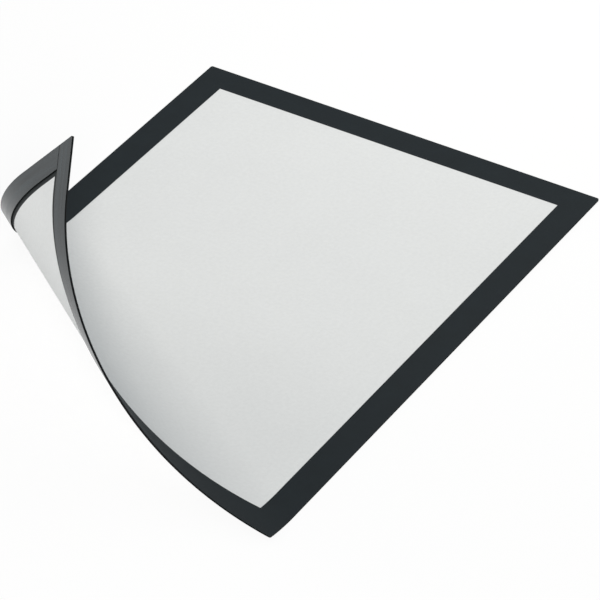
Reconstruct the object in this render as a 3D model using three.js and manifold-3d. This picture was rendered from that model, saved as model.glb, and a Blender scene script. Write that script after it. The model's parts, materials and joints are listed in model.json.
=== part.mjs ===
// Magnetic display frame for one A4 sheet, lying face up with its near left corner peeled off.
// The frame is a laminate: a black border foil, a matt window film and four magnetic rubber strips.
// Every layer is drawn flat, cut along the fold lines of the curl and turned up fold by fold.
// Millimetres, +Z up. The origin is the middle of the frame, on the surface that it holds to.

import * as THREE from 'three';
import { mergeVertices } from 'three/addons/utils/BufferGeometryUtils.js';
import Module from 'manifold-3d';

// Sheet that the frame shows, and the magnetic strips that leave a recess for it on the back
const SHEET_WIDTH = 210;
const SHEET_LENGTH = 297;
const STRIP_WIDTH = 13;
const STRIP_BUTT_GAP = 0.3;

// Black border round the window, as seen from the front
const SIDE_BORDER = 15.5;
const END_BORDER = 16.4;

// Rounding of the die-cut outline
const CORNER_RADIUS = 1;
const CORNER_STEPS = 4;

// Layers, from the back to the front
const STRIP_THICKNESS = 0.75;
const FILM_THICKNESS = 0.15;
const FOIL_THICKNESS = 0.1;
const GLUE_LINE = 0.05;

// Curl of the corner. The first fold runs from the left edge to the right edge, at heights above the foot.
// The last fold runs from the left edge to the foot edge, at distances from the corner.
const FOLD_COUNT = 10;
const CURL_TURN_DEG = 119;
const FIRST_FOLD_UP_LEFT = 172;
const FIRST_FOLD_UP_RIGHT = 12.2;
const LAST_FOLD_UP_LEFT = 60;
const LAST_FOLD_ALONG_FOOT = 43;
const FOLD_SLIT = 0.3;

// An offcut smaller than this, in cubic millimetres, is no piece
const SMALLEST_OFFCUT = 0.5;

// Sizes that follow
const FRAME_WIDTH = SHEET_WIDTH + 2 * STRIP_WIDTH;
const FRAME_LENGTH = SHEET_LENGTH + 2 * STRIP_WIDTH;
const FILM_BACK = STRIP_THICKNESS + GLUE_LINE;
const FOIL_BACK = FILM_BACK + FILM_THICKNESS + GLUE_LINE;
const FRONT_FACE = FOIL_BACK + FOIL_THICKNESS;
const LEFT = -FRAME_WIDTH / 2;
const RIGHT = FRAME_WIDTH / 2;
const FOOT = -FRAME_LENGTH / 2;
const HEAD = FRAME_LENGTH / 2;
const PEELED_CORNER = new THREE.Vector2(LEFT, FOOT);
const FOLD_ANGLE = THREE.MathUtils.degToRad(CURL_TURN_DEG) / FOLD_COUNT;
const BEYOND_THE_FRAME = FRAME_WIDTH + FRAME_LENGTH;
const CUTTER_BACK = -FRONT_FACE;
const CUTTER_DEPTH = 3 * FRONT_FACE;

const wasm = await Module();
wasm.setup();

// Solids and geometry

function solidFrom(geometry) {
  geometry.deleteAttribute('normal');
  geometry.deleteAttribute('uv');
  const merged = mergeVertices(geometry);
  const mesh = new wasm.Mesh({
    numProp: 3,
    vertProperties: merged.attributes.position.array,
    triVerts: Uint32Array.from(merged.index.array),
  });
  return new wasm.Manifold(mesh);
}

function geometryFrom(solid) {
  const mesh = solid.getMesh();
  const geometry = new THREE.BufferGeometry();
  geometry.setAttribute('position', new THREE.BufferAttribute(mesh.vertProperties, 3));
  geometry.setIndex(new THREE.BufferAttribute(mesh.triVerts, 1));
  return geometry;
}

function plate(shape, back, thickness) {
  const options = { depth: thickness, bevelEnabled: false, curveSegments: CORNER_STEPS };
  const geometry = new THREE.ExtrudeGeometry(shape, options);
  return solidFrom(geometry.translate(0, 0, back));
}

// Flat shapes

function rectangle(left, foot, right, head) {
  const shape = new THREE.Shape();
  shape.moveTo(left, foot);
  shape.lineTo(right, foot);
  shape.lineTo(right, head);
  shape.lineTo(left, head);
  shape.closePath();
  return shape;
}

function dieCutOutline() {
  const shape = new THREE.Shape();
  const quarter = Math.PI / 2;
  const inset = CORNER_RADIUS;
  shape.absarc(RIGHT - inset, HEAD - inset, CORNER_RADIUS, 0, quarter);
  shape.absarc(LEFT + inset, HEAD - inset, CORNER_RADIUS, quarter, 2 * quarter);
  shape.absarc(LEFT + inset, FOOT + inset, CORNER_RADIUS, 2 * quarter, 3 * quarter);
  shape.absarc(RIGHT - inset, FOOT + inset, CORNER_RADIUS, 3 * quarter, 4 * quarter);
  shape.closePath();
  return shape;
}

// Layers of the flat frame

function windowFilm() {
  return plate(dieCutOutline(), FILM_BACK, FILM_THICKNESS);
}

function borderFoil() {
  const ring = dieCutOutline();
  ring.holes.push(rectangle(LEFT + SIDE_BORDER, FOOT + END_BORDER, RIGHT - SIDE_BORDER, HEAD - END_BORDER));
  return plate(ring, FOIL_BACK, FOIL_THICKNESS);
}

function magneticStrip(left, foot, right, head) {
  const outline = plate(dieCutOutline(), 0, STRIP_THICKNESS);
  return outline.intersect(plate(rectangle(left, foot, right, head), 0, STRIP_THICKNESS));
}

// The head and foot strips run through to the corners, and the side strips butt between them.
function magneticStrips() {
  const sideFoot = FOOT + STRIP_WIDTH + STRIP_BUTT_GAP;
  const sideHead = HEAD - STRIP_WIDTH - STRIP_BUTT_GAP;
  return {
    head_magnet: magneticStrip(LEFT, HEAD - STRIP_WIDTH, RIGHT, HEAD),
    foot_magnet: magneticStrip(LEFT, FOOT, RIGHT, FOOT + STRIP_WIDTH),
    left_magnet: magneticStrip(LEFT, sideFoot, LEFT + STRIP_WIDTH, sideHead),
    right_magnet: magneticStrip(RIGHT - STRIP_WIDTH, sideFoot, RIGHT, sideHead),
  };
}

// Fold lines of the curl, from the flat part of the frame to the tip of the corner.
// Past the right edge, the first fold meets the line of the foot edge at firstAlong.

function foldLine(index) {
  const share = index / (FOLD_COUNT - 1);
  const firstAlong = FRAME_WIDTH / (1 - FIRST_FOLD_UP_RIGHT / FIRST_FOLD_UP_LEFT);
  const up = THREE.MathUtils.lerp(FIRST_FOLD_UP_LEFT, LAST_FOLD_UP_LEFT, share);
  const along = THREE.MathUtils.lerp(firstAlong, LAST_FOLD_ALONG_FOOT, share);
  const start = new THREE.Vector2(along, 0).add(PEELED_CORNER);
  const end = new THREE.Vector2(0, up).add(PEELED_CORNER);
  const direction = end.clone().sub(start).normalize();
  const towardsCorner = new THREE.Vector2(-direction.y, direction.x);
  return { start, direction, towardsCorner };
}

// Everything on the corner's side of a fold line that is shifted towards the corner
function cornerSide(fold, shift) {
  const middle = fold.start.clone().addScaledVector(fold.towardsCorner, shift);
  const along = fold.direction.clone().multiplyScalar(BEYOND_THE_FRAME);
  const across = fold.towardsCorner.clone().multiplyScalar(BEYOND_THE_FRAME);
  const near = middle.clone().sub(along);
  const far = middle.clone().add(along);
  const shape = new THREE.Shape([near, far, far.clone().add(across), near.clone().add(across)]);
  return plate(shape, CUTTER_BACK, CUTTER_DEPTH);
}

const folds = Array.from({ length: FOLD_COUNT }, (_, index) => foldLine(index));

function flatPart(layer) {
  return layer.subtract(cornerSide(folds[0], -FOLD_SLIT / 2));
}

function partAfterFold(layer, index) {
  const turned = layer.intersect(cornerSide(folds[index], FOLD_SLIT / 2));
  if (index === FOLD_COUNT - 1) {
    return turned;
  }
  return turned.subtract(cornerSide(folds[index + 1], -FOLD_SLIT / 2));
}

// Materials

function mattBlackFoil() {
  return new THREE.MeshStandardMaterial({ color: 0x2c3134, roughness: 0.6, metalness: 0 });
}

function frostedFilm() {
  return new THREE.MeshStandardMaterial({ color: 0xe2e4e3, roughness: 0.5, metalness: 0 });
}

function magneticRubber() {
  return new THREE.MeshStandardMaterial({ color: 0x5c6061, roughness: 0.7, metalness: 0 });
}

function addPiece(carrier, name, solid, material) {
  if (solid.volume() < SMALLEST_OFFCUT) {
    return;
  }
  const mesh = new THREE.Mesh(geometryFrom(solid), material);
  mesh.name = name;
  carrier.add(mesh);
}

// Assembly

const film = windowFilm();
const foil = borderFoil();
const strips = magneticStrips();
const leftSide = plate(rectangle(LEFT, FOOT, LEFT + SIDE_BORDER, HEAD), CUTTER_BACK, CUTTER_DEPTH);

// Group that holds what lies beyond a fold: it turns on the fold line in the frame's front face.
function foldGroup(carrier, fold) {
  const hinge = new THREE.Group();
  const beyond = new THREE.Group();
  const axis = new THREE.Vector3(fold.direction.x, fold.direction.y, 0);
  hinge.position.set(fold.start.x, fold.start.y, FRONT_FACE);
  hinge.setRotationFromAxisAngle(axis, FOLD_ANGLE);
  beyond.position.copy(hinge.position).negate();
  carrier.add(hinge);
  hinge.add(beyond);
  return beyond;
}

function addFlatFrame(carrier) {
  addPiece(carrier, 'window_film', flatPart(film), frostedFilm());
  addPiece(carrier, 'border_foil', flatPart(foil), mattBlackFoil());
  for (const [name, strip] of Object.entries(strips)) {
    addPiece(carrier, name, flatPart(strip), magneticRubber());
  }
}

function addFold(carrier, index) {
  const suffix = `fold_${String(index + 1).padStart(2, '0')}`;
  const border = partAfterFold(foil, index);
  addPiece(carrier, `window_film_${suffix}`, partAfterFold(film, index), frostedFilm());
  if (index === FOLD_COUNT - 1) {
    addPiece(carrier, `border_foil_${suffix}`, border, mattBlackFoil());
  } else {
    addPiece(carrier, `left_border_${suffix}`, border.intersect(leftSide), mattBlackFoil());
    addPiece(carrier, `foot_border_${suffix}`, border.subtract(leftSide), mattBlackFoil());
  }
  for (const [name, strip] of Object.entries(strips)) {
    addPiece(carrier, `${name}_${suffix}`, partAfterFold(strip, index), magneticRubber());
  }
}

const frame = new THREE.Group();
addFlatFrame(frame);
let carrier = frame;
folds.forEach((fold, index) => {
  carrier = foldGroup(carrier, fold);
  addFold(carrier, index);
});

export default frame;
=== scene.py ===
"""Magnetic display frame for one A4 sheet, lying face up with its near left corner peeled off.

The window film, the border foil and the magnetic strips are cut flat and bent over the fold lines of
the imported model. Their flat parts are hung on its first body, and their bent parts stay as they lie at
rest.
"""

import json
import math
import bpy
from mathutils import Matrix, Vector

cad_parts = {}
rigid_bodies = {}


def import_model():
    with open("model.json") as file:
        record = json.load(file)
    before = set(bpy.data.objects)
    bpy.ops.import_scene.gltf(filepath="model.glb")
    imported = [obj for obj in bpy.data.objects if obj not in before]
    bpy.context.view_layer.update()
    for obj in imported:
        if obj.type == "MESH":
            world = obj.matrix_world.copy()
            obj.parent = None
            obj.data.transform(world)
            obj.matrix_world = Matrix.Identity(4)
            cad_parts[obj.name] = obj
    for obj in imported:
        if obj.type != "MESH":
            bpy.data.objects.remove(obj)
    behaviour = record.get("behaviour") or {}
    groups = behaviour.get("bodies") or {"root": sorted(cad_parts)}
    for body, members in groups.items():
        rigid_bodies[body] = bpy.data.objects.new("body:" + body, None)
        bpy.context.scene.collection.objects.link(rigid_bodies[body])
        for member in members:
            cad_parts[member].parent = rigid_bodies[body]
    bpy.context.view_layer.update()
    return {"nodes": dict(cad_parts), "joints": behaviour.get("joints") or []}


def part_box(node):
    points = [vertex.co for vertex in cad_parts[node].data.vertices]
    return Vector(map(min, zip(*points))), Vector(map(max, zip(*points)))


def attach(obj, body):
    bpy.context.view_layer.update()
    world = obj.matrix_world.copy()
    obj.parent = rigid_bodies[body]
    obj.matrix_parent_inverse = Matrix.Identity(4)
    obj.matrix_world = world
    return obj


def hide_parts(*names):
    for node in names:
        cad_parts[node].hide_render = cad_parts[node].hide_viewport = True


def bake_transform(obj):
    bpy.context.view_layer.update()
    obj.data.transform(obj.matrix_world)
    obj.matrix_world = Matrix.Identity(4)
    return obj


bl_info = {
    "name": "Magnetic Display Frame",
    "version": (1, 0, 0),
    "blender": (4, 5, 0),
    "location": "View3D > Sidebar > Display Frame",
    "description": "Laminated magnetic frame with a peeling corner, dressed on the packed model",
    "category": "Add Mesh",
}

import bmesh
import bpy
from bpy.props import FloatProperty, FloatVectorProperty, IntProperty, PointerProperty
from bpy.types import Operator, Panel, PropertyGroup
from mathutils import Matrix, Vector

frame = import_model()

# Layers and outline, as packed
STRIP_LOW, STRIP_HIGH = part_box("head_magnet")
FILM_LOW, FILM_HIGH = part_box("window_film")
FOIL_LOW, FOIL_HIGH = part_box("border_foil")
SIDE_STRIP_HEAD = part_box("left_magnet")[1].y
HALF_WIDTH = FOIL_HIGH.x
HALF_LENGTH = FOIL_HIGH.y
PEELED_CORNER = Vector((-HALF_WIDTH, -HALF_LENGTH, 0.0))

UP = Vector((0.0, 0.0, 1.0))
ALONG_X = Vector((1.0, 0.0, 0.0))
ALONG_Y = Vector((0.0, 1.0, 0.0))

# Meshing of the layers
CORNER_STEPS = 4
EDGE_STEPS = 2
SHARP_EDGE = math.radians(15.0)
TOUCHING = 1e-7
# A face lies flat if more than this share of its normal points up or down.
FLAT_FACE = 0.9
# A hinge zone is this many folds wide, and the flat part of the frame ends before the first one starts.
ZONE_FOLDS = 3.0
FLAT_END = -2.0

# Patterns of the finishes, in spots to the metre
FOIL_GRAIN = 2600.0
FOIL_PATCHES = 90.0
FILM_FROST = 1300.0
FILM_FLECKS = 480.0
FILM_CLOUD = 30.0
RUBBER_STREAKS = 260.0
RUBBER_SPECKS = 2200.0
CUT_SPECKS = 1800.0
# Along a strip, the streaks have this share of the spots that they have across it.
STREAK_STRETCH = 0.04
PATTERN_MAP = "FlatSheet"
PLAIN_DETAIL = 2.0
FINE_DETAIL = 3.0
GRAIN_DEPTH = 0.00003
BORDER_BLUR = 0.0003

# Floor, light and camera, with places and sizes in metres
PLAIN_WHITE = (1.0, 1.0, 1.0)
WARM_WHITE = (1.0, 0.96, 0.915)
COOL_WHITE = (0.9, 1.0, 1.07)
FLOOR_GREY = (0.8, 0.8, 0.8)
FLOOR_GAP = 0.0001
FLOOR_CELLS = 4
KEY_SPOT = Vector((2.545, -3.503, 2.5))
KEY_SIZE = 1.6
SIDE_SPOT = Vector((-4.698, 0.0, 1.71))
SIDE_SIZE = 3.2
BACK_SPOT = Vector((0.0, 0.35, 0.35))
BACK_SIZE = 0.3
CAMERA_REACH = 50.0


# Sizes, finishes and stage that a user would change


class FrameSizes(PropertyGroup):
    """Sizes of the flat laminate."""

    side_border: FloatProperty(
        name="Side Border",
        description="Width of the black border along the long sides",
        default=0.0155,
        min=0.001,
        unit="LENGTH",
        subtype="DISTANCE",
    )
    end_border: FloatProperty(
        name="End Border",
        description="Width of the black border along the head and the foot",
        default=0.0164,
        min=0.001,
        unit="LENGTH",
        subtype="DISTANCE",
    )
    strip_width: FloatProperty(
        name="Strip Width",
        description="Width of the magnetic strips on the back",
        default=STRIP_HIGH.y - STRIP_LOW.y,
        min=0.001,
        unit="LENGTH",
        subtype="DISTANCE",
    )
    butt_gap: FloatProperty(
        name="Butt Gap",
        description="Gap where a side strip meets the head or foot strip",
        default=STRIP_LOW.y - SIDE_STRIP_HEAD,
        min=0.0,
        unit="LENGTH",
        subtype="DISTANCE",
    )
    corner_radius: FloatProperty(
        name="Corner Radius",
        description="Rounding of the four die-cut corners",
        default=0.001,
        min=0.0001,
        unit="LENGTH",
        subtype="DISTANCE",
    )
    foil_edge: FloatProperty(
        name="Foil Edge",
        description="Rounding of the cut edges of foil and film",
        default=0.00004,
        min=0.00001,
        precision=5,
        unit="LENGTH",
        subtype="DISTANCE",
    )
    strip_edge: FloatProperty(
        name="Strip Edge",
        description="Rounding of the long edges of the magnetic strips",
        default=0.0001,
        min=0.00001,
        precision=5,
        unit="LENGTH",
        subtype="DISTANCE",
    )
    rulings: IntProperty(
        name="Rulings per Fold",
        description="Straight lines over which each fold of the curl is rounded",
        default=12,
        min=2,
        max=40,
    )


class FrameFinishes(PropertyGroup):
    """Colours of the laminate, as linear light."""

    foil: FloatVectorProperty(
        name="Border Foil",
        description="Matt black foil round the window",
        default=(0.0142, 0.019, 0.022),
        min=0.0,
        max=1.0,
        size=3,
        subtype="COLOR",
    )
    film: FloatVectorProperty(
        name="Window Film",
        description="Frosted pale film of the window",
        default=(0.771, 0.785, 0.786),
        min=0.0,
        max=1.0,
        size=3,
        subtype="COLOR",
    )
    film_on_foil: FloatVectorProperty(
        name="Film on Foil",
        description="The film from behind, where the black foil lies under it",
        default=(0.026, 0.03, 0.031),
        min=0.0,
        max=1.0,
        size=3,
        subtype="COLOR",
    )
    rubber: FloatVectorProperty(
        name="Magnetic Rubber",
        description="Dull grey face of the magnetic strips",
        default=(0.02, 0.0285, 0.0325),
        min=0.0,
        max=1.0,
        size=3,
        subtype="COLOR",
    )
    # The slit edges are the dark rubber core, made near black as painted shade on the side walls of the
    # strips.
    cut_rubber_painted_shade: FloatVectorProperty(
        name="Cut Rubber",
        description="Near black edges along which the strips are slit",
        default=(0.004, 0.0045, 0.0048),
        min=0.0,
        max=1.0,
        size=3,
        subtype="COLOR",
    )


class FrameStage(PropertyGroup):
    """Floor, light and camera."""

    floor_size: FloatProperty(
        name="Floor Size",
        description="Side of the square floor",
        default=12.0,
        min=1.0,
        unit="LENGTH",
        subtype="DISTANCE",
    )
    shadow_share: FloatProperty(
        name="Shadow Share",
        description="Share of the floor's white that light makes and a shadow can take",
        default=0.12,
        min=0.0,
        max=1.0,
        subtype="FACTOR",
    )
    sky_level: FloatProperty(
        name="Sky Level",
        description="Even light from all round",
        default=0.285,
        min=0.0,
        max=2.0,
    )
    key_power: FloatProperty(
        name="Key Light",
        description="Power of the large soft box beside the camera",
        default=236.0,
        min=0.0,
        unit="POWER",
    )
    side_power: FloatProperty(
        name="Side Light",
        description="Power of the wide, low soft box on the left",
        default=73.0,
        min=0.0,
        unit="POWER",
    )
    back_power: FloatProperty(
        name="Back Light",
        description="Power of the small soft box close behind the head edge",
        default=0.475,
        min=0.0,
        unit="POWER",
    )
    azimuth: FloatProperty(
        name="Azimuth",
        description="Direction of the camera round the frame",
        default=math.radians(31.025),
        subtype="ANGLE",
    )
    elevation: FloatProperty(
        name="Elevation",
        description="Height of the camera above the horizon",
        default=math.radians(36.419),
        subtype="ANGLE",
    )
    roll: FloatProperty(
        name="Roll",
        description="Turn of the camera about its line of sight",
        default=math.radians(0.497),
        subtype="ANGLE",
    )
    distance: FloatProperty(
        name="Distance",
        description="From the camera to the spot that it looks at",
        default=2.0561,
        min=0.1,
        unit="LENGTH",
        subtype="DISTANCE",
    )
    look_at: FloatVectorProperty(
        name="Look At",
        description="Spot on the floor in the middle of the picture",
        default=(0.03203, 0.00634, 0.0),
        size=3,
        unit="LENGTH",
        subtype="TRANSLATION",
    )
    lens: FloatProperty(
        name="Focal Length",
        description="Focal length of the camera in millimetres",
        default=247.84,
        min=10.0,
        unit="CAMERA",
    )


def window_reach(sizes):
    """Half of the open window's width, and half of its length."""
    return HALF_WIDTH - sizes.side_border, HALF_LENGTH - sizes.end_border


# The peeled corner


class Curl:
    """Straight fold lines in the flat sheet, and the way the sheet bends over them.

    A place counts the fold lines from the first one, with fractions for the rulings between them.
    raised holds the way from flat to rest of the sheet before the first fold and beyond each fold.
    """

    def __init__(self, joints):
        self.bodies = [joints[0]["parent"]] + [joint["child"] for joint in joints]
        self.turns = [-math.radians(joint["range_deg"][0]) for joint in joints]
        self.raised = [Matrix.Identity(4)]
        ends = []
        for joint, turn in zip(joints, self.turns):
            pivot = Vector(joint["pos_m"])
            axis = Vector(joint["axis"])
            to_flat = self.raised[-1].inverted()
            start = to_flat @ pivot
            way = to_flat.to_3x3() @ axis
            along = start.x - PEELED_CORNER.x
            ends.append(Vector((along, -along * way.y / way.x)))
            self.front = start.z
            rise = Matrix.Translation(pivot) @ Matrix.Rotation(turn, 4, axis) @ Matrix.Translation(-pivot)
            self.raised.append(rise @ self.raised[-1])
        self.last = len(joints) - 1
        self.first_ends = ends[0]
        self.step = (ends[-1] - ends[0]) / self.last

    def ends(self, place):
        """Distances from the corner at which a ruling meets the foot line and the left edge."""
        return self.first_ends + place * self.step

    def plane(self, place):
        """A point on a ruling and the direction in the sheet from it towards the corner."""
        along, up = self.ends(place)
        return PEELED_CORNER + along * ALONG_X, Vector((-up, -along, 0.0)).normalized()

    def place_of(self, x, y):
        """The ruling through a flat spot, given by its distances from the corner."""
        square = self.step.x * self.step.y
        slope = (self.first_ends.x - x) * self.step.y + (self.first_ends.y - y) * self.step.x
        constant = self.first_ends.x * self.first_ends.y - x * self.first_ends.y - y * self.first_ends.x
        # On their way to the corner, the rulings first meet the spot at the smaller root.
        return (-slope - math.sqrt(slope * slope - 4.0 * square * constant)) / (2.0 * square)

    def bent(self, spot):
        """Where a spot of the flat sheet lies at rest, on a smooth curve inside the folds."""
        x = spot.x - PEELED_CORNER.x
        y = spot.y - PEELED_CORNER.y
        place = self.place_of(x, y)
        if place >= self.last + 0.5:
            return self.raised[-1] @ spot
        fold = max(math.floor(place + 0.5), 0)
        share = max(place - fold + 0.5, 0.0)
        turn = self.turns[fold]
        across = self.plane(fold)[1]
        up_share = y / self.ends(place).y
        width = Vector((self.step.x * (1.0 - up_share), self.step.y * up_share, 0.0)).dot(across)
        # A parabola, from the sheet before the fold to the sheet beyond it
        lift = 0.5 * width * share * share
        lean = share * turn
        on_front = Vector((spot.x, spot.y, self.front))
        on_front += lift * ((math.cos(turn) - 1.0) * across + math.sin(turn) * UP)
        depth = spot.z - self.front
        return self.raised[fold] @ (on_front + depth * (math.cos(lean) * UP - math.sin(lean) * across))

    def hinge_zone(self, fold):
        """Two points across a fold at rest, on either side of its pivot.

        The zones are wide, so that those of neighbouring folds overlap.
        """
        start, across = self.plane(fold)
        spacing = 0.5 * (self.step.x * across.x + self.step.y * across.y)
        reach = 0.5 * ZONE_FOLDS * spacing
        before = self.raised[fold].to_3x3() @ across
        after = self.raised[fold + 1].to_3x3() @ across
        half = (before + after).normalized() * reach * math.cos(0.5 * self.turns[fold])
        pivot = self.raised[fold] @ (start + self.front * UP)
        return pivot - half, pivot + half


curl = Curl(frame["joints"])


# Node boards for the finishes


class Wire:
    """An output on a node board. Arithmetic on wires adds the Math nodes for it."""

    def __init__(self, board, socket):
        self.board = board
        self.socket = socket

    def maths(self, operation, *values):
        """Adds a Math node."""
        return self.board.node("ShaderNodeMath", {"operation": operation}, dict(enumerate(values)))

    def __add__(self, other):
        return self.maths("ADD", self, other)

    def __radd__(self, other):
        return self.maths("ADD", other, self)

    def __sub__(self, other):
        return self.maths("SUBTRACT", self, other)

    def __rsub__(self, other):
        return self.maths("SUBTRACT", other, self)

    def __mul__(self, other):
        return self.maths("MULTIPLY", self, other)

    def __rmul__(self, other):
        return self.maths("MULTIPLY", other, self)

    def __truediv__(self, other):
        return self.maths("DIVIDE", self, other)

    def __rtruediv__(self, other):
        return self.maths("DIVIDE", other, self)

    def __abs__(self):
        return self.maths("ABSOLUTE", self)

    def larger(self, other):
        """The larger of two values."""
        return self.maths("MAXIMUM", self, other)

    def within_one(self):
        """The value, held between 0 and 1."""
        return self.maths("MINIMUM", self.larger(0.0), 1.0)

    def between(self, low, high):
        """A value from low to high, for one from 0 to 1."""
        return low + (high - low) * self

    def beside(self, output):
        """Another output of the same node."""
        return Wire(self.board, self.socket.node.outputs[output])


class Board:
    """The node tree of one finish."""

    def __init__(self, tree):
        self.tree = tree

    def feed(self, node, sockets):
        """Sets the sockets of a node to values, or links wires to them."""
        for name, value in sockets.items():
            if isinstance(value, Wire):
                self.tree.links.new(value.socket, node.inputs[name])
            else:
                node.inputs[name].default_value = value

    def node(self, kind, settings, sockets, output=0):
        """Adds a node, with its settings first and its sockets after them."""
        made = self.tree.nodes.new(kind)
        for name, value in settings.items():
            setattr(made, name, value)
        self.feed(made, sockets)
        return Wire(self, made.outputs[output]) if made.outputs else None

    def mix(self, factor, first, second):
        """A colour between two colours. The sockets for colours are known only by their numbers."""
        sockets = {0: factor, 6: first, 7: second}
        return self.node("ShaderNodeMix", {"data_type": "RGBA"}, sockets, 2)

    def mottled(self, tone, colour, contrast):
        """A colour that a tone from 0 to 1 makes darker or lighter by a share."""
        return self.mix(tone, shaded(colour, 1.0 - contrast), shaded(colour, 1.0 + contrast))

    def noise(self, where, scale, detail=PLAIN_DETAIL):
        """Flat noise from 0 to 1, with about scale spots in a metre."""
        sockets = {"Vector": where, "Scale": scale, "Detail": detail, "Roughness": 0.6}
        return self.node("ShaderNodeTexNoise", {"noise_dimensions": "2D"}, sockets)

    def pattern(self):
        """The flat sheet's own coordinates in metres."""
        return self.node("ShaderNodeUVMap", {"uv_map": PATTERN_MAP}, {})

    def grained(self, height):
        """A normal for a relief as deep as the grain."""
        sockets = {"Strength": 1.0, "Distance": GRAIN_DEPTH, "Height": height}
        return self.node("ShaderNodeBump", {}, sockets)


def shaded(colour, factor=1.0):
    """A colour made darker or lighter, with full alpha."""
    return tuple(channel * factor for channel in colour) + (1.0,)


def new_finish(name):
    """A new material, its board and its surface shader."""
    material = bpy.data.materials.new(name)
    material.use_nodes = True
    board = Board(material.node_tree)
    return material, board, board.tree.nodes["Principled BSDF"]


def matt_foil(colours):
    """Black foil with a fine embossed grain."""
    material, board, surface = new_finish("matt_black_foil")
    sheet = board.pattern()
    grain = board.noise(sheet, FOIL_GRAIN)
    patches = board.noise(sheet, FOIL_PATCHES)
    tone = 0.6 * grain + 0.4 * patches
    board.feed(
        surface,
        {
            "Base Color": board.mottled(tone, colours.foil, 0.4),
            "Roughness": tone.between(0.5, 0.66),
            "Specular IOR Level": 0.05,
            "Normal": board.grained(grain),
        },
    )
    return material


def frosted_film(colours, sizes):
    """Pale frosted film, dark from behind where the black foil backs it."""
    material, board, surface = new_finish("frosted_film")
    sheet = board.pattern()
    x = board.node("ShaderNodeSeparateXYZ", {}, {0: sheet})
    y = x.beside("Y")
    side, end = window_reach(sizes)
    beyond_window = (abs(x) - side).larger(abs(y) - end)
    on_foil = (beyond_window / BORDER_BLUR + 0.5).within_one()
    frost = board.noise(sheet, FILM_FROST, FINE_DETAIL)
    flecks = board.noise(sheet, FILM_FLECKS)
    cloud = board.noise(sheet, FILM_CLOUD)
    tone = 0.2 * frost + 0.6 * flecks + 0.2 * cloud
    pale = board.mottled(tone, colours.film, 0.07)
    board.feed(
        surface,
        {
            "Base Color": board.mix(on_foil, pale, shaded(colours.film_on_foil)),
            "Roughness": frost.between(0.5, 0.66),
            "Specular IOR Level": 0.04,
            "Normal": board.grained(frost),
        },
    )
    return material


def magnetic_rubber(colours):
    """Dull grey rubber with faint streaks along the strip."""
    material, board, surface = new_finish("magnetic_rubber")
    sheet = board.pattern()
    stretch = (STREAK_STRETCH, 1.0, 1.0)
    stretched = board.node("ShaderNodeMapping", {}, {"Vector": sheet, "Scale": stretch})
    # The noise keeps near the middle of its range, so its contrast is doubled.
    streaks = (2.0 * board.noise(stretched, RUBBER_STREAKS, FINE_DETAIL) - 0.5).within_one()
    specks = board.noise(sheet, RUBBER_SPECKS)
    tone = 0.65 * streaks + 0.35 * specks
    board.feed(
        surface,
        {
            "Base Color": board.mottled(tone, colours.rubber, 0.65),
            "Roughness": tone.between(0.14, 0.3),
            "Specular IOR Level": 0.16,
            "Normal": board.grained(tone),
        },
    )
    return material


def cut_rubber_painted_shade(colours):
    """Near black slit edge of a strip: the dark rubber core, made darker still as painted shade on the
    side walls.
    """
    material, board, surface = new_finish("cut_rubber_painted_shade")
    # Painted shade: the near black colour stands for the shade on the side walls of the strips.
    specks = board.noise(board.pattern(), CUT_SPECKS)
    board.feed(
        surface,
        {
            "Base Color": board.mottled(specks, colours.cut_rubber_painted_shade, 0.3),
            "Roughness": specks.between(0.6, 0.75),
            "Specular IOR Level": 0.05,
        },
    )
    return material


def finish_named(name, make, *settings):
    """The finish of that name, made on first use."""
    return bpy.data.materials.get(name) or make(*settings)


# Flat outlines


def whole(mesh):
    """All that a cut goes through."""
    return mesh.verts[:] + mesh.edges[:] + mesh.faces[:]


def score(mesh, point, direction):
    """Cuts a line through a mesh and keeps both sides."""
    bmesh.ops.bisect_plane(mesh, geom=whole(mesh), dist=TOUCHING, plane_co=point, plane_no=direction)


def clip(mesh, point, direction):
    """Cuts off what lies on the direction's side, and gives the edges of the cut."""
    cut = bmesh.ops.bisect_plane(
        mesh,
        geom=whole(mesh),
        dist=TOUCHING,
        plane_co=point,
        plane_no=direction,
        clear_outer=True,
    )
    return [edge for edge in cut["geom_cut"] if isinstance(edge, bmesh.types.BMEdge)]


def die_cut_outline(sizes):
    """The whole frame as one flat face with rounded corners."""
    mesh = bmesh.new()
    bmesh.ops.create_grid(mesh, x_segments=1, y_segments=1, size=1.0)
    bmesh.ops.scale(mesh, vec=(HALF_WIDTH, HALF_LENGTH, 1.0), verts=mesh.verts[:])
    bmesh.ops.bevel(
        mesh,
        geom=mesh.verts[:],
        offset=sizes.corner_radius,
        offset_type="OFFSET",
        affect="VERTICES",
        segments=CORNER_STEPS,
        profile=0.5,
        material=-1,
    )
    return mesh


def border_outline(sizes, keep):
    """The border round the open window, of the faces for whose middles keep holds."""
    mesh = die_cut_outline(sizes)
    side, end = window_reach(sizes)
    for sign in (-1.0, 1.0):
        score(mesh, sign * side * ALONG_X, ALONG_X)
        score(mesh, sign * end * ALONG_Y, ALONG_Y)
    spare = []
    for face in mesh.faces:
        middle = face.calc_center_median()
        in_window = abs(middle.x) < side and abs(middle.y) < end
        if in_window or not keep(middle):
            spare.append(face)
    bmesh.ops.delete(mesh, geom=spare, context="FACES")
    return mesh


def strip_outline(sizes, left, foot, right, head):
    """A rectangle of the die-cut outline."""
    mesh = die_cut_outline(sizes)
    clip(mesh, left * ALONG_X, -ALONG_X)
    clip(mesh, right * ALONG_X, ALONG_X)
    clip(mesh, foot * ALONG_Y, -ALONG_Y)
    clip(mesh, head * ALONG_Y, ALONG_Y)
    return mesh


# Slabs of the laminate


def is_flat(face):
    """Says if a face lies flat, and is no side wall."""
    return abs(face.normal.z) > FLAT_FACE


def is_rim(edge):
    """Says if an edge joins a flat face and a side wall."""
    if len(edge.link_faces) != 2:
        return False
    first, second = edge.link_faces
    return is_flat(first) != is_flat(second)


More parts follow.
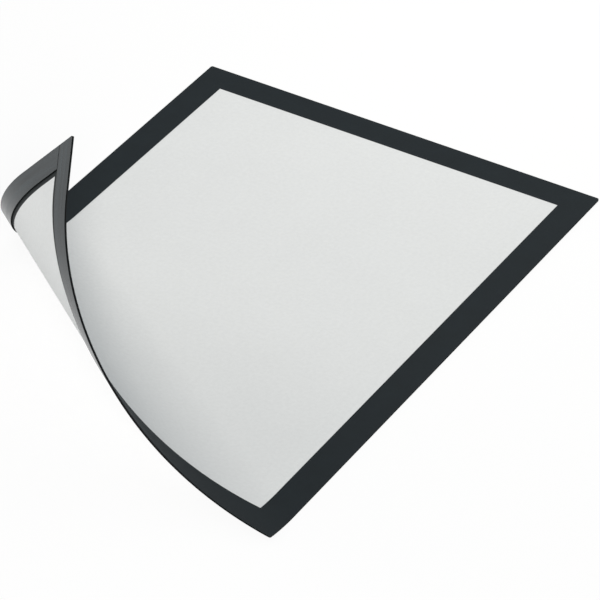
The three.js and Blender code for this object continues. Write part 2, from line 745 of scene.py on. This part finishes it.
def raise_slab(mesh, low, high, edge_size):
    """Gives a flat outline its thickness and rounds its edges."""
    bmesh.ops.translate(mesh, vec=low * UP, verts=mesh.verts[:])
    grown = bmesh.ops.extrude_face_region(mesh, geom=mesh.faces[:])
    top = [part for part in grown["geom"] if isinstance(part, bmesh.types.BMVert)]
    bmesh.ops.translate(mesh, vec=(high - low) * UP, verts=top)
    bmesh.ops.recalc_face_normals(mesh, faces=mesh.faces[:])
    bmesh.ops.bevel(
        mesh,
        geom=[edge for edge in mesh.edges if is_rim(edge)],
        offset=edge_size,
        offset_type="OFFSET",
        affect="EDGES",
        segments=EDGE_STEPS,
        profile=0.5,
        material=-1,
    )
    return mesh


def lay_pattern(mesh, along, across):
    """Writes the flat coordinates into the pattern map, before anything is bent."""
    pattern = mesh.loops.layers.uv.new(PATTERN_MAP)
    for face in mesh.faces:
        for loop in face.loops:
            spot = loop.vert.co
            loop[pattern].uv = (spot.dot(along), spot.dot(across))


def trim(mesh, point, direction):
    """Cuts off the direction's side of a slab and closes the cut."""
    edges = clip(mesh, point, direction)
    if edges:
        bmesh.ops.edgeloop_fill(mesh, edges=edges)


class Layer:
    """What the pieces of one layer have in common."""

    def __init__(self, slot, finishes, rulings, along=ALONG_X, across=ALONG_Y):
        self.slot = slot
        self.finishes = finishes
        self.rulings = rulings
        self.along = along
        self.across = across


def new_piece(name, mesh, layer, node):
    """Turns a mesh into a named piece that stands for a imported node."""
    if node not in frame["nodes"]:
        raise RuntimeError(f"{name} has no packed node {node} to stand for")
    for face in mesh.faces:
        face.smooth = True
    for edge in mesh.edges:
        edge.smooth = edge.calc_face_angle(math.pi) < SHARP_EDGE
    data = bpy.data.meshes.new(name)
    mesh.to_mesh(data)
    mesh.free()
    for finish in layer.finishes:
        data.materials.append(finish)
    piece = bpy.data.objects.new(name, data)
    bpy.context.scene.collection.objects.link(piece)
    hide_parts(node)
    return piece


def ready(mesh, layer):
    """Lays the pattern and gives the cut edges their own finish, if the layer has one; that finish holds
    painted shade.
    """
    lay_pattern(mesh, layer.along, layer.across)
    if len(layer.finishes) > 1:
        for face in mesh.faces:
            if not is_flat(face):
                face.material_index = 1


def hang_flat(slab, layer, name, node):
    """Hangs the part of a slab that never bends on the flat frame."""
    part = slab.copy()
    trim(part, *curl.plane(FLAT_END))
    ready(part, layer)
    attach(new_piece(name, part, layer, node), curl.bodies[0])


def hang_bends(slab, layer, name, node, folds):
    """Bends a slab over each of these folds, as pieces that stay where they lie at rest."""
    for fold in folds:
        part = slab.copy()
        before, towards_corner = curl.plane(fold - 0.5 if fold > 0 else FLAT_END)
        trim(part, before, -towards_corner)
        if fold < curl.last:
            trim(part, *curl.plane(fold + 0.5))
        if not part.faces:
            part.free()
            continue
        # The rulings lie closer together where the bend begins and ends.
        for ruling in range(layer.rulings + 1):
            share = 0.5 - 0.5 * math.cos(math.pi * ruling / layer.rulings)
            score(part, *curl.plane(fold - 0.5 + share))
        ready(part, layer)
        for vertex in part.verts:
            vertex.co = curl.bent(vertex.co)
        part.normal_update()
        count = f"{fold + 1:02d}"
        piece = new_piece(f"{name}_bend_{count}", part, layer, f"{node}_fold_{count}")
        start, end = curl.hinge_zone(fold)
        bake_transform(piece)


# The border is one piece at the tip, and a left and a foot piece at each fold before it
ALL_FOLDS = range(curl.last + 1)
SPLIT_FOLDS = range(curl.last)
TIP_FOLD = range(curl.last, curl.last + 1)


# Pieces of the frame


class DISPLAYFRAME_OT_window_film(Operator):
    """Cut the frosted window film, bend its corner and hang it on the model"""

    bl_idname = "display_frame.window_film"
    bl_label = "Window Film"

    def execute(self, context):
        sizes = context.scene.frame_sizes
        finish = frosted_film(context.scene.frame_finishes, sizes)
        layer = Layer("window_film", [finish], sizes.rulings)
        slab = raise_slab(die_cut_outline(sizes), FILM_LOW.z, FILM_HIGH.z, sizes.foil_edge)
        hang_flat(slab, layer, "window_film_sheet", "window_film")
        hang_bends(slab, layer, "window_film", "window_film", ALL_FOLDS)
        slab.free()
        return {"FINISHED"}


class DISPLAYFRAME_OT_border_foil(Operator):
    """Cut the black border foil, bend its corner and hang it on the model"""

    bl_idname = "display_frame.border_foil"
    bl_label = "Border Foil"

    def execute(self, context):
        sizes = context.scene.frame_sizes
        layer = Layer("border_foil", [matt_foil(context.scene.frame_finishes)], sizes.rulings)
        left_band = sizes.side_border - HALF_WIDTH
        choices = {
            "all": lambda middle: True,
            "left": lambda middle: middle.x < left_band,
            "rest": lambda middle: middle.x > left_band,
        }
        slabs = {}
        for part, keep in choices.items():
            outline = border_outline(sizes, keep)
            slabs[part] = raise_slab(outline, FOIL_LOW.z, FOIL_HIGH.z, sizes.foil_edge)
        hang_flat(slabs["all"], layer, "border_foil_surround", "border_foil")
        hang_bends(slabs["left"], layer, "left_border", "left_border", SPLIT_FOLDS)
        hang_bends(slabs["rest"], layer, "foot_border", "foot_border", SPLIT_FOLDS)
        hang_bends(slabs["all"], layer, "border_foil", "border_foil", TIP_FOLD)
        for slab in slabs.values():
            slab.free()
        return {"FINISHED"}


def strip_slab(sizes, left, foot, right, head):
    """A magnetic strip, still flat."""
    outline = strip_outline(sizes, left, foot, right, head)
    return raise_slab(outline, STRIP_LOW.z, STRIP_HIGH.z, sizes.strip_edge)


def strip_layer(context, along, across):
    """What strips that lie along the same way have in common."""
    colours = context.scene.frame_finishes
    finishes = [
        finish_named("magnetic_rubber", magnetic_rubber, colours),
        finish_named("cut_rubber_painted_shade", cut_rubber_painted_shade, colours),
    ]
    return Layer("magnetic_strip", finishes, context.scene.frame_sizes.rulings, along, across)


class DISPLAYFRAME_OT_end_strips(Operator):
    """Cut the head and foot strips, which run through to the corners"""

    bl_idname = "display_frame.end_strips"
    bl_label = "Head and Foot Strips"

    def execute(self, context):
        sizes = context.scene.frame_sizes
        layer = strip_layer(context, ALONG_X, ALONG_Y)
        inner = HALF_LENGTH - sizes.strip_width
        head = strip_slab(sizes, -HALF_WIDTH, inner, HALF_WIDTH, HALF_LENGTH)
        hang_flat(head, layer, "head_strip", "head_magnet")
        foot = strip_slab(sizes, -HALF_WIDTH, -HALF_LENGTH, HALF_WIDTH, -inner)
        hang_bends(foot, layer, "foot_strip", "foot_magnet", ALL_FOLDS)
        head.free()
        foot.free()
        return {"FINISHED"}


class DISPLAYFRAME_OT_side_strips(Operator):
    """Cut the left and right strips, which butt between the head and foot strips"""

    bl_idname = "display_frame.side_strips"
    bl_label = "Side Strips"

    def execute(self, context):
        sizes = context.scene.frame_sizes
        layer = strip_layer(context, ALONG_Y, ALONG_X)
        reach = HALF_LENGTH - sizes.strip_width - sizes.butt_gap
        inner = HALF_WIDTH - sizes.strip_width
        left = strip_slab(sizes, -HALF_WIDTH, -reach, -inner, reach)
        hang_flat(left, layer, "left_strip", "left_magnet")
        hang_bends(left, layer, "left_strip", "left_magnet", ALL_FOLDS)
        right = strip_slab(sizes, inner, -reach, HALF_WIDTH, reach)
        hang_flat(right, layer, "right_strip", "right_magnet")
        hang_bends(right, layer, "right_strip", "right_magnet", ALL_FOLDS)
        left.free()
        right.free()
        return {"FINISHED"}


# Stage


def seen_directly(board):
    """1 for camera, glossy and transmitted rays, which show the white background."""
    camera = board.node("ShaderNodeLightPath", {}, {}, "Is Camera Ray")
    return (camera + camera.beside("Is Glossy Ray") + camera.beside("Is Transmission Ray")).within_one()


def empty_board(owner):
    """The cleared board of a material or of the sky."""
    owner.use_nodes = True
    owner.node_tree.nodes.clear()
    return Board(owner.node_tree)


def floor_finish(stage):
    """White floor that keeps a soft shadow, and can be looked through from below."""
    material = bpy.data.materials.new("white_floor")
    board = empty_board(material)
    shadowed = shaded(PLAIN_WHITE, stage.shadow_share)
    lit = board.node("ShaderNodeBsdfDiffuse", {}, {"Color": shadowed})
    own = {"Color": shaded(PLAIN_WHITE), "Strength": 1.0 - stage.shadow_share}
    glow = board.node("ShaderNodeEmission", {}, own)
    shown = board.node("ShaderNodeAddShader", {}, {0: lit, 1: glow})
    bounce = board.node("ShaderNodeBsdfDiffuse", {}, {"Color": shaded(FLOOR_GREY)})
    top = board.node("ShaderNodeMixShader", {}, {0: seen_directly(board), 1: bounce, 2: shown})
    clear = board.node("ShaderNodeBsdfTransparent", {}, {})
    below = board.node("ShaderNodeNewGeometry", {}, {}, "Backfacing")
    both = board.node("ShaderNodeMixShader", {}, {0: below, 1: top, 2: clear})
    board.node("ShaderNodeOutputMaterial", {}, {"Surface": both})
    return material


def lay_floor(stage):
    """Lays the floor just under the frame."""
    mesh = bmesh.new()
    half = 0.5 * stage.floor_size
    bmesh.ops.create_grid(mesh, x_segments=FLOOR_CELLS, y_segments=FLOOR_CELLS, size=half)
    bmesh.ops.translate(mesh, vec=-FLOOR_GAP * UP, verts=mesh.verts[:])
    data = bpy.data.meshes.new("studio_floor")
    mesh.to_mesh(data)
    mesh.free()
    data.materials.append(floor_finish(stage))
    floor = bpy.data.objects.new("studio_floor", data)
    bpy.context.scene.collection.objects.link(floor)


def light_the_sky(stage):
    """Even light from all round, seen as white."""
    world = bpy.data.worlds.new("studio_white")
    board = empty_board(world)
    even = {"Color": shaded(COOL_WHITE), "Strength": stage.sky_level}
    light = board.node("ShaderNodeBackground", {}, even)
    seen = board.node("ShaderNodeBackground", {}, {"Color": shaded(PLAIN_WHITE), "Strength": 1.0})
    sky = board.node("ShaderNodeMixShader", {}, {0: seen_directly(board), 1: light, 2: seen})
    board.node("ShaderNodeOutputWorld", {}, {"Surface": sky})
    bpy.context.scene.world = world


def hang_lamp(name, spot, size, power):
    """Hangs a round soft box that faces the frame."""
    light = bpy.data.lights.new(name, "AREA")
    light.shape = "DISK"
    light.size = size
    light.energy = power
    light.color = WARM_WHITE
    lamp = bpy.data.objects.new(name, light)
    lamp.location = spot
    lamp.rotation_mode = "QUATERNION"
    lamp.rotation_quaternion = (-spot).to_track_quat("-Z", "Y")
    bpy.context.scene.collection.objects.link(lamp)


def place_camera(stage):
    """Stands the camera where the picture was taken from."""
    view = bpy.data.cameras.new("camera")
    view.lens = stage.lens
    view.clip_end = CAMERA_REACH
    camera = bpy.data.objects.new("camera", view)
    level = math.cos(stage.elevation)
    height = math.sin(stage.elevation)
    back = Vector((math.sin(stage.azimuth) * level, -math.cos(stage.azimuth) * level, height))
    camera.location = Vector(stage.look_at) + stage.distance * back
    camera.rotation_mode = "QUATERNION"
    turn = Matrix.Rotation(stage.roll, 3, "Z").to_quaternion()
    camera.rotation_quaternion = (-back).to_track_quat("-Z", "Y") @ turn
    bpy.context.scene.collection.objects.link(camera)
    bpy.context.scene.camera = camera


class DISPLAYFRAME_OT_stage(Operator):
    """Set up the white floor, the soft light and the camera"""

    bl_idname = "display_frame.stage"
    bl_label = "Stage"

    def execute(self, context):
        stage = context.scene.frame_stage
        lay_floor(stage)
        light_the_sky(stage)
        hang_lamp("key_light", KEY_SPOT, KEY_SIZE, stage.key_power)
        hang_lamp("side_light", SIDE_SPOT, SIDE_SIZE, stage.side_power)
        hang_lamp("back_light", BACK_SPOT, BACK_SIZE, stage.back_power)
        place_camera(stage)
        context.scene.view_settings.view_transform = "Standard"
        return {"FINISHED"}


# Sidebar


OPERATORS = (
    DISPLAYFRAME_OT_window_film,
    DISPLAYFRAME_OT_border_foil,
    DISPLAYFRAME_OT_end_strips,
    DISPLAYFRAME_OT_side_strips,
    DISPLAYFRAME_OT_stage,
)


class DISPLAYFRAME_PT_sidebar(Panel):
    """Sizes, finishes and pieces of the display frame"""

    bl_idname = "DISPLAYFRAME_PT_sidebar"
    bl_label = "Display Frame"
    bl_space_type = "VIEW_3D"
    bl_region_type = "UI"
    bl_category = "Display Frame"

    def draw(self, context):
        for group in (context.scene.frame_sizes, context.scene.frame_finishes, context.scene.frame_stage):
            box = self.layout.box()
            for name in group.__annotations__:
                box.prop(group, name)
        for operator in OPERATORS:
            self.layout.operator(operator.bl_idname)


GROUPS = {
    "frame_sizes": FrameSizes,
    "frame_finishes": FrameFinishes,
    "frame_stage": FrameStage,
}


def register():
    for cls in (*GROUPS.values(), *OPERATORS, DISPLAYFRAME_PT_sidebar):
        bpy.utils.register_class(cls)
    for name, group in GROUPS.items():
        setattr(bpy.types.Scene, name, PointerProperty(type=group))


def unregister():
    for name in GROUPS:
        delattr(bpy.types.Scene, name)
    for cls in (DISPLAYFRAME_PT_sidebar, *OPERATORS, *GROUPS.values()):
        bpy.utils.unregister_class(cls)


def main():
    register()
    bpy.ops.display_frame.window_film()
    bpy.ops.display_frame.border_foil()
    bpy.ops.display_frame.end_strips()
    bpy.ops.display_frame.side_strips()
    bpy.ops.display_frame.stage()


if __name__ == "__main__":
    main()
